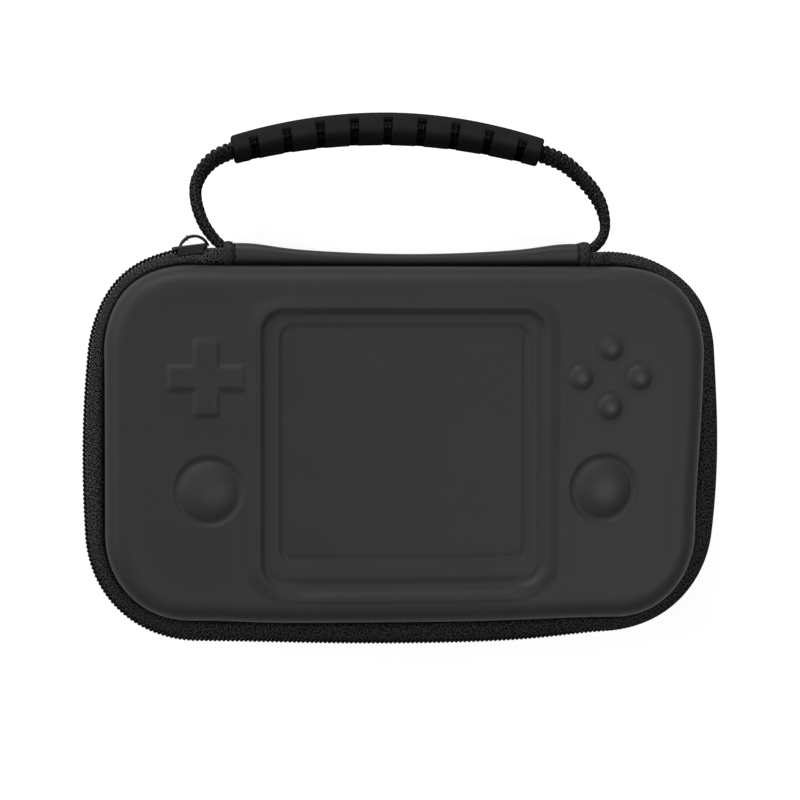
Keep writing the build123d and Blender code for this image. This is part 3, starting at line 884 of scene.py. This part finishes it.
def make_tape(name, front, node):
    """Band of cloth with a slack section and a turned edge, laid over the strap at both ends."""
    run = open_run(strip_right - tape_end_tuck, strip_left + tape_end_tuck)
    rim_here = settle(rim_points) if front else rim_points
    across = np.linspace(0, 1, 11)
    seam_rise = front_rim - seam_drop - mid_height
    rows, uvs = [], []
    lengths = np.array([zip_lengths[i] for i in run])
    wrap = np.where(np.diff(lengths, prepend=lengths[0]) < -50, 1, 0).cumsum() * (zip_lengths[-1] + 1.0)
    lengths = lengths + wrap
    for place, i in zip(lengths, run):
        x = zip_points[i, 0]
        out = zip_normals[i]
        cover = float(smooth_step((x - tape_cover_from) / (tape_cover_to - tape_cover_from)))
        setback = tape_setback + (tape_setback_right - tape_setback) * cover
        root = rim_here[i] - rim_normals[i] * tape_tuck
        edge = zip_points[i] - out * setback
        lift, tuck_in = 0.0, 0.0
        if zip_points[i, 1] > 0:
            gap = x - strip_right if x > 0 else strip_left - x
            lift = float(smooth_step((tape_lift_end - gap) / (tape_lift_end - tape_lift_full)))
            tuck_in = tape_end_tuck * float(smooth_step((0.4 - gap) / (0.4 + tape_end_tuck)))
            root[0] += (edge[0] - root[0]) * lift
        seam = [(root - rim_normals[i] * 3.2, seam_rise), (root - rim_normals[i] * 0.8, seam_rise - 0.05)]
        upper = [(p[0], p[1], h - tuck_in) for p, h in seam]
        for s in across:
            flat = root + (edge - root) * s
            slack = tape_edge_gap + (tape_root_rise - tape_edge_gap) * (1 - s**tape_crown)
            laid = tape_laid_rise - 0.3 * s - 1.0 * s**8
            upper.append((flat[0], flat[1], slack + (laid - slack) * lift - tuck_in))
        lower = []
        for k, (px, py, pz) in enumerate(upper):
            tuck = min(1.0, max(0.0, (k - 1) / 4))
            back = tape_thickness * tape_turn * tuck
            under = pz - tape_thickness * (1 - tape_slim * tuck)
            lower.append((px - out[0] * back, py - out[1] * back, under))
        lower[-1] = (lower[-1][0], lower[-1][1], max(lower[-1][2], tape_edge_gap))
        section = upper + lower[::-1]
        for k, (px, py, pz) in enumerate(section):
            rows.append((px, py, mid_height + (pz if front else -pz)))
            span = k if k < len(upper) else 2 * len(upper) - k
            uvs.append((place, span * tape_step))
    width = len(section)
    faces = grid_faces(len(run), width, close_columns=True, flip=not front)
    faces.append(tuple(range(width)) if front else tuple(range(width))[::-1])
    last = (len(run) - 1) * width
    faces.append(tuple(range(last, last + width))[::-1] if front else tuple(range(last, last + width)))
    piece = make_mesh(name, rows, faces, uvs)
    piece.data.materials.append(tape_twill)
    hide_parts(node)
    return piece


front_tape = make_tape("front_tape_cloth", True, "front_zip_tape")
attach(front_tape, "lid")
back_tape = make_tape("back_tape_cloth", False, "back_zip_tape")
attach(back_tape, "base")


# Zip rows: one nylon thread wound in a coil along the edge of each tape
def at_length(place):
    """Point and outward normal of the zip outline at a length along it."""
    wrapped = np.mod(place, zip_full)
    long = np.append(zip_lengths, zip_full)
    ring = np.vstack([zip_points, zip_points[:1]])
    outs = np.vstack([zip_normals, zip_normals[:1]])
    return resample(wrapped, long, ring), unit(resample(wrapped, long, outs))


def sweep_thread(path, guide, radius, sides):
    """Round thread along a path of points, with a guide direction for each point."""
    tangent = unit(np.gradient(path, axis=0))
    side = unit(np.cross(tangent, guide))
    up = np.cross(side, tangent)
    angles = np.linspace(0, 2 * math.pi, sides, endpoint=False)[None, :, None]
    rings = path[:, None, :] + radius * (np.cos(angles) * side[:, None, :] + np.sin(angles) * up[:, None, :])
    return rings.reshape(-1, 3)


def length_at_x(x):
    """Length along the outline where the top edge has this x."""
    order = np.arange(top_run)
    return float(np.interp(x, zip_points[order, 0], zip_lengths[order]))


def make_coil(name, front, body, node, phase):
    """Wound thread of one row, a turn for each tooth."""
    start = length_at_x(row_end_x)
    stop = zip_full + length_at_x(row_start_x)
    turns = int((stop - start) / coil_pitch)
    per_turn = 14
    swing = np.arange(turns * per_turn) / per_turn * 2 * math.pi
    place = start + ((swing + coil_slant * np.sin(swing)) / (2 * math.pi) + phase) * coil_pitch
    point, out = at_length(place)
    inset = coil_middle - coil_swing * np.cos(swing)
    rise = coil_centre_rise + coil_half_height * np.sin(swing)
    path = np.column_stack([point - out * inset[:, None], mid_height + (rise if front else -rise)])
    guide = np.column_stack([unit(np.gradient(point, axis=0)), np.zeros(len(out))])
    sides = 6
    points = sweep_thread(path, guide, coil_thread, sides)
    piece = make_mesh(name, points, tube_faces(len(path), sides))
    piece.data.materials.append(coil_nylon)
    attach(piece, body)
    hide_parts(node)


make_coil("front_coil_thread", True, "lid", "front_zip_coil", 0.0)
make_coil("back_coil_thread", False, "base", "back_zip_coil", 0.15)


# Strip: smooth coated sheet over the spine, hemmed and stitched at both ends
strip_reach_u = (0.0, 8.0, 16.0, 25.0, 31.0, 36.0, 40.0, 44.0, 47.0, 70.0)
strip_reach_y = (55.7, 55.8, 56.05, 56.5, 56.9, 57.4, 58.0, 58.6, 58.85, 58.9)
strip_section = (
    (0.0, 27.0), (0.06, 28.1), (0.15, 28.9), (0.3, 29.3), (0.62, 29.5), (0.76, 29.35),
    (0.87, 28.95), (0.95, 28.2), (0.99, 27.2), (1.0, 25.8), (1.0, 24.4), (1.0, 23.0),
)
strip_root = 51.9


def strip_face(x):
    """Outer face of the strip at x, with its swollen ends."""
    u = np.abs(x - strip_shift)
    samples = [np.interp(u + offset, strip_reach_u, strip_reach_y) for offset in np.linspace(-2.5, 2.5, 11)]
    return float(np.mean(samples))


def strip_outline(x):
    """Upper half of the strip's section at x, from the seam to the middle of the outer face."""
    face = strip_face(x)
    upper = [(seam_inner + 0.6, 28.75), (50.4, 28.6), (51.3, 27.4)]
    upper += [(strip_root + share * (face - strip_root), z) for share, z in strip_section]
    return upper


def section_normals(section):
    """Outward directions along a section."""
    run = unit(np.gradient(np.array(section), axis=0))
    return np.column_stack([-run[:, 1], run[:, 0]])


def make_strip():
    """The sheet, with a puffed hem and a sunk stitch line at each end."""
    close = 4.4
    xs = np.concatenate([
        np.linspace(strip_left, strip_left + close, 34),
        np.linspace(strip_left + close, strip_right - close, 140)[1:-1],
        np.linspace(strip_right - close, strip_right, 34),
    ])
    rows, uvs = [], []
    for x in xs:
        outer = mirrored(strip_outline(x))
        normals = section_normals(outer)
        from_end = min(x - strip_left, strip_right - x)
        round_off = 1 - ((from_end - hem_width / 2) / (hem_width / 2)) ** 2
        lift = hem_puff * math.sqrt(max(0.0, round_off))
        lift -= stitch_sink * math.exp(-(((from_end - hem_width - stitch_inset) / 0.3) ** 2))
        outer = np.array(outer) + normals * lift
        inner = outer - normals * (sheet_thickness + lift)
        section = np.vstack([outer, inner[::-1]])
        for k, (y, z) in enumerate(section):
            rows.append((x, y, z))
            uvs.append((x, k * 0.8))
    width = len(section)
    faces = tube_faces(len(xs), width, flip=True)
    in_hem = [min(x - strip_left, strip_right - x) < hem_width for x in (xs[1:] + xs[:-1]) / 2]
    parts = [int(hem) for hem in in_hem for _ in range(width)] + [1, 1]
    piece = make_mesh("strip_sheet", rows, faces, uvs, parts)
    piece.data.materials.append(strip_skin)
    piece.data.materials.append(hem_twill)
    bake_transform(piece)
    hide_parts("handle_strip")


make_strip()


def make_stitches(name, lines, length, radius, gap):
    """Short threads laid along lines: each line is a list of points and outward directions."""
    points, faces = [], []
    for places, outs in lines:
        places, outs = np.array(places, float), np.array(outs, float)
        lengths = along_lengths(places, closed=False)
        count = max(1, int(lengths[-1] / (length + gap)))
        start = (lengths[-1] - count * (length + gap) + gap) / 2
        for k in range(count):
            stops = start + k * (length + gap) + np.linspace(0, length, stitch_rings)
            path, out = resample(stops, lengths, places), resample(stops, lengths, outs)
            arch = np.sin(np.linspace(0, math.pi, stitch_rings)) ** 0.6
            path = path + out * ((arch - 0.55) * radius)[:, None]
            faces += tube_faces(stitch_rings, stitch_sides, first=len(points))
            points += sweep_thread(path, out, radius, stitch_sides).tolist()
    piece = make_mesh(name, points, faces, [(p[0] + p[2], p[1]) for p in points])
    piece.data.materials.append(thread)
    return piece


hem_lines = []
for hem_x in (strip_left + hem_width + stitch_inset, strip_right - hem_width - stitch_inset):
    whole_line = mirrored(strip_outline(hem_x)[4:])
    line_out = section_normals(whole_line)
    sunk = np.array(whole_line) - line_out * 0.12
    hem_lines.append(([(hem_x, y, z) for y, z in sunk], [(0, a, b) for a, b in line_out]))
hem_stitches = make_stitches("hem_stitches", hem_lines, 1.5, 0.2, 0.5)
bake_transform(hem_stitches)


# Spine cloth: the hinge between the two halves, inside the strip
def make_spine():
    """Cloth bent round the spine, from seam to seam."""
    half = [
        (seam_inner + 0.4, 27.5), (50.0, 27.5), (51.2, 27.4), (52.2, 27.0), (53.1, 26.4), (53.7, 25.6),
        (54.0, 24.7), (54.1, 23.8), (54.1, 23.0),
    ]
    outer = np.array(mirrored(half))
    inner = outer - section_normals(outer) * spine_thickness
    section = np.vstack([outer, inner[::-1]])
    xs = np.linspace(strip_left + 0.3, strip_right - 0.3, 60)
    rows = [(x, y, z) for x in xs for y, z in section]
    uvs = [(x, k * 0.7) for x in xs for k in range(len(section))]
    piece = make_mesh("spine_fabric", rows, tube_faces(len(xs), len(section), flip=True), uvs)
    piece.data.materials.append(binding_twill)
    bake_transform(piece)
    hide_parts("spine_cloth")


make_spine()


# Handle webbing: a ribbed strap that leaves the strip upright and leans into the handle's plane
droop_v = np.array([0, math.cos(handle_droop), -math.sin(handle_droop)])
droop_up = np.array([0, math.sin(handle_droop), math.cos(handle_droop)])
handle_origin = np.array([0, anchor_line, mid_height])


def grip_line(run, rise=0.0):
    """Point in the handle's plane, at a length from the grip's middle and a height over its centre line."""
    angle, radius = run / grip_bend, grip_bend + rise
    u, v = grip_shift + radius * math.sin(angle), handle_rise - grip_bend + radius * math.cos(angle)
    share = run / (grip_half_angle * grip_bend)
    return u, v - grip_drop - grip_end_drop * share**2 - grip_right_drop * float(smooth_step(share))


def strap_line():
    """Dense smooth line of the strap in the handle's plane, from the left anchor to the right one."""
    half_run = grip_half_angle * grip_bend
    arc = [grip_line(run) for run in np.linspace(-half_run, half_run, 60)]
    corners = np.array([*loop_left, *arc, *loop_right])
    lengths = along_lengths(corners, closed=False)
    stops = np.linspace(0, lengths[-1], 1600)
    line = resample(stops, lengths, corners)
    reach, weights = ease_weights(loop_ease, stops[1] - stops[0])
    padded_line = np.vstack([2 * line[0] - line[reach:0:-1], line, 2 * line[-1] - line[-2:-reach - 2:-1]])
    smooth = np.column_stack([np.convolve(padded_line[:, k], weights, mode="valid") for k in (0, 1)])
    lengths = along_lengths(smooth, closed=False)
    count = int(lengths[-1] / (rib_pitch / 6))
    stops = np.linspace(0, lengths[-1], count)
    return resample(stops, lengths, smooth), stops


def make_webbing():
    """Strap with braided ribs, plain inside the grip."""
    line, stops = strap_line()
    total = stops[-1]
    path = handle_origin + line[:, :1] * np.array([1.0, 0, 0]) + line[:, 1:] * droop_v
    tangent = unit(np.gradient(path, axis=0))
    from_end = np.minimum(stops, total - stops)
    lean = handle_droop * smooth_step(from_end / 16.0)
    turned = -right_lean * smooth_step((line[:, 0] - 40.0) / 15.0)
    wide = np.column_stack([turned, np.sin(lean), np.cos(lean)])
    wide = unit(wide - tangent * np.sum(wide * tangent, axis=1)[:, None])
    flat = np.cross(tangent, wide)
    angles = np.abs(np.arctan2(line[:, 0] - grip_shift, line[:, 1] - handle_rise + grip_bend))
    in_grip = (angles < grip_half_angle + 0.004) & (line[:, 1] > 25.0)
    rib = np.where(in_grip, 0.0, 1.0)
    across, around = rounded_section(strap_thickness / 2, strap_width / 2, strap_fullness, 52)
    run_out = unit(np.roll(across, -1, axis=0) - np.roll(across, 1, axis=0))
    facing = np.column_stack([run_out[:, 1], -run_out[:, 0]])
    slim = strap_thin / strap_thickness
    thin = slim + (1 - slim) * smooth_step((from_end - 8.0) / 14.0)
    zig = np.abs(((around / braid_band + 1) % 2) - 1) * braid_lean
    wave = 0.5 * np.cos(2 * math.pi * (stops[:, None] / rib_pitch + zig[None, :]))
    grow = rib[:, None] * rib_rise * wave
    out_flat = across[None, :, 0] * thin[:, None] + facing[None, :, 0] * grow
    out_wide = across[None, :, 1] + facing[None, :, 1] * grow
    rows = path[:, None, :] + flat[:, None, :] * out_flat[:, :, None]
    rows = (rows + wide[:, None, :] * out_wide[:, :, None]).reshape(-1, 3)
    uvs = np.stack(np.broadcast_arrays(stops[:, None], around[None, :]), axis=-1).reshape(-1, 2)
    piece = make_mesh("webbing_strap", rows, tube_faces(len(line), len(across)), uvs)
    piece.data.materials.append(webbing_yarn)
    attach(piece, "base")
    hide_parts("handle_webbing")


make_webbing()


def make_anchor(name, outer_x, inner_x):
    """End of the strap, flat under the strip."""
    xs = np.linspace(outer_x, inner_x, 24)
    half_w, half_t = strap_width / 2 - 0.3, strap_thickness / 2 - 0.25
    corners = []
    for a in np.linspace(0, 2 * math.pi, 32, endpoint=False):
        c, s = math.cos(a), math.sin(a)
        corners.append((math.copysign(abs(c) ** 0.35, c) * half_t, math.copysign(abs(s) ** 0.35, s) * half_w))
    rows = [(x, anchor_line + t, mid_height + w) for x in xs for t, w in corners]
    uvs = [(x, w + (20 if t < 0 else 0)) for x in xs for t, w in corners]
    piece = make_mesh(name, rows, tube_faces(len(xs), len(corners), flip=inner_x > outer_x), uvs)
    piece.data.materials.append(webbing_yarn)
    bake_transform(piece)


make_anchor("webbing_end_left", strip_left - strap_exit + 0.4, strip_left + strap_anchor)
make_anchor("webbing_end_right", strip_right + strap_exit - 0.4, strip_right - strap_anchor)


# Grip: a rounded moulded sleeve with finger slots; the slot floors stand for the strap inside, coloured near
# black as painted shade
def grip_section(half_thick, count, slot_rise):
    """Rounded section with a close pair of points at the slots' upper edge."""
    section, _ = rounded_section(half_thick, grip_width / 2, grip_fullness, count)
    for side in (1, -1):
        here = np.where(section[:, 1] * side > 0)[0]
        pair = here[np.argsort(np.abs(section[here, 0] - slot_rise))][:2]
        low, high = sorted(pair, key=lambda i: section[i, 0])
        section[high, 0] = slot_rise + 0.03
        section[low, 0] = slot_rise - 0.03
    return section


def make_grip():
    """Sleeve along the grip's line, with more rings at the edges of its slots."""
    half_run = grip_half_angle * grip_bend
    centres = [(k - (slot_count - 1) / 2) * slot_spacing for k in range(slot_count)]
    marks = set(np.round(np.linspace(-half_run, half_run, 120), 4))
    for centre in centres:
        for edge in (-1, 1):
            for step in (-0.2, -0.12, -0.06, 0.0, 0.06, 0.12, 0.2):
                marks.add(round(centre + edge * (slot_width / 2 + step), 4))
    for step in (0.05, 0.15, 0.3, 0.5, 0.8):
        marks.add(round(-half_run + step, 4))
        marks.add(round(half_run - step, 4))
    runs = sorted(marks)
    count = 96
    rows, uvs, cut_flags = [], [], []
    for run in runs:
        swell = 1 - (run / half_run) ** 2
        half_thick = (grip_end_thickness + (grip_mid_thickness - grip_end_thickness) * swell) / 2
        centre = min(centres, key=lambda place: abs(run - place))
        slot_rise = slot_rise_mid + (slot_rise_end - slot_rise_mid) * (centre / half_run) ** 2
        section = grip_section(half_thick, count, slot_rise)
        end = max(0.0, 0.8 - (half_run - abs(run))) / 0.8
        section = section * (1 - 0.16 * (1 - math.sqrt(max(0.0, 1 - end**2))))
        cut = float(smooth_step((slot_width / 2 + 0.14 - abs(run - centre)) / 0.28))
        for r, w in section:
            deep = r < slot_rise
            if deep:
                r_cut = max(r, -(half_thick - slot_floor))
                w_cut = max(-(grip_width / 2 - slot_depth), min(grip_width / 2 - slot_depth, w))
                r, w = r + (r_cut - r) * cut, w + (w_cut - w) * cut
            u, v = grip_line(run, r)
            rows.append(handle_origin + np.array([u, 0, 0]) + v * droop_v + w * droop_up)
            uvs.append((run, w))
            cut_flags.append(deep and cut > 0.5)
    faces = tube_faces(len(runs), count)
    # Faces of the slot floors take the near-black cloth of painted shade.
    parts = [1 if all(cut_flags[i] for i in f) else 0 for f in faces]
    piece = make_mesh("grip_sleeve", rows, faces, uvs, parts)
    piece.data.materials.append(grip_rubber)
    piece.data.materials.append(slot_painted_shade)
    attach(piece, "base")
    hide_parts("handle_grip")


make_grip()


# Bindings: folded cloth sewn over the seam inside each half
def make_binding(name, front, body, node):
    """Folded band with a slightly wavy inner face."""
    inset, thick, tall = lip_reach + wall + 0.15, 0.8, 7.9
    points, normals = rim_loop(60, 24, 110)
    if front:
        points = settle(points)
    lengths = along_lengths(points)
    section = [(0.0, h) for h in np.linspace(0.05, tall, 9)]
    section += [(0.25 * thick, tall + 0.05), (0.75 * thick, tall + 0.05), (thick, tall - 0.2)]
    for h in np.linspace(tall - 0.6, 0.5, 9):
        section.append((thick + 0.12 * math.sin(h * 2.1), h))
    section += [(0.8 * thick, 0.12), (0.4 * thick, 0.0)]
    rows, uvs = [], []
    for p, n, s in zip(points, normals, lengths):
        for depth, h in section:
            shift = inset + h * math.tan(draft) + depth
            z = front_rim + h if front else case_depth - front_rim - h
            rows.append((p[0] - n[0] * shift, p[1] - n[1] * shift, z))
            uvs.append((s, h + depth * 3))
    faces = grid_faces(len(points), len(section), close_rows=True, close_columns=True, flip=front)
    piece = make_mesh(name, rows, faces, uvs)
    piece.data.materials.append(binding_twill)
    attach(piece, body)
    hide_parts(node)


make_binding("front_binding_cloth", True, "lid", "front_binding")
make_binding("back_binding_cloth", False, "base", "back_binding")


# Pull: a small ring on the slider's crown, a neck and a flat tab
def make_pull():
    """Ring and tab, bent to the crown's curve."""
    down, out, side = np.array([0, 0, -1.0]), np.array(pull_out), np.array(pull_side)
    pivot = np.array(pull_pivot) + down * pull_sag
    turns = np.linspace(0, 2 * math.pi, 28, endpoint=False)
    outs = np.cos(turns)[:, None] * down + np.sin(turns)[:, None] * out
    wire_sides = 10
    points = []
    for away in outs:
        for angle in np.linspace(0, 2 * math.pi, wire_sides, endpoint=False):
            wire = pull_wire * (math.cos(angle) * away + math.sin(angle) * side)
            points.append(pivot + pull_ring * away + wire)
    faces = grid_faces(len(turns), wire_sides, close_rows=True, close_columns=True, flip=True)
    ring_count = len(faces)
    base = len(points)
    corner_stops = pull_corner * (1 - np.cos(np.linspace(0, math.pi / 2, 6)))
    widen_run = 1.8
    stops = [pull_ring - 0.1, pull_neck_end - 1.0]
    stops += [*np.linspace(pull_neck_end, pull_neck_end + widen_run, 7)]
    stops += [*(pull_length - corner_stops[::-1])]
    half_thick = pull_thickness / 2
    for stop in stops:
        widen = float(smooth_step((stop - pull_neck_end) / widen_run))
        half = (pull_neck + (pull_width - pull_neck) * widen) / 2
        over = max(0.0, stop - (pull_length - pull_corner)) / pull_corner
        half -= pull_corner * (1 - math.sqrt(max(0.0, 1 - over**2)))
        flat = half - pull_bevel
        slim = half_thick - pull_bevel
        across = np.linspace(-flat, flat, 7)
        section = [(o, half_thick) for o in across] + [(half, slim), (half, -slim)]
        section += [(o, -half_thick) for o in across[::-1]] + [(-half, -slim), (-half, slim)]
        for o, t in section:
            turn = crown_turn + o / crown_radius
            along = (crown_radius - t) * math.sin(turn) - crown_radius * math.sin(crown_turn)
            rise = (crown_radius - t) * math.cos(turn) - crown_radius * math.cos(crown_turn)
            points.append(pivot + down * stop + side * along + out * (rise + pull_lean * stop / pull_length))
    sides = len(section)
    faces += tube_faces(len(stops), sides, first=base)
    piece = make_mesh("pull_tab", points, faces)
    piece.data.polygons.foreach_set("use_smooth", [k < ring_count for k in range(len(piece.data.polygons))])
    piece.data.materials.append(lacquer)
    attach(piece, "pull")
    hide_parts("zip_pull")


make_pull()


# The slider stays the CAD node and gets its finish
slider = nodes["zip_slider"]
slider.data.materials.clear()
slider.data.materials.append(lacquer)
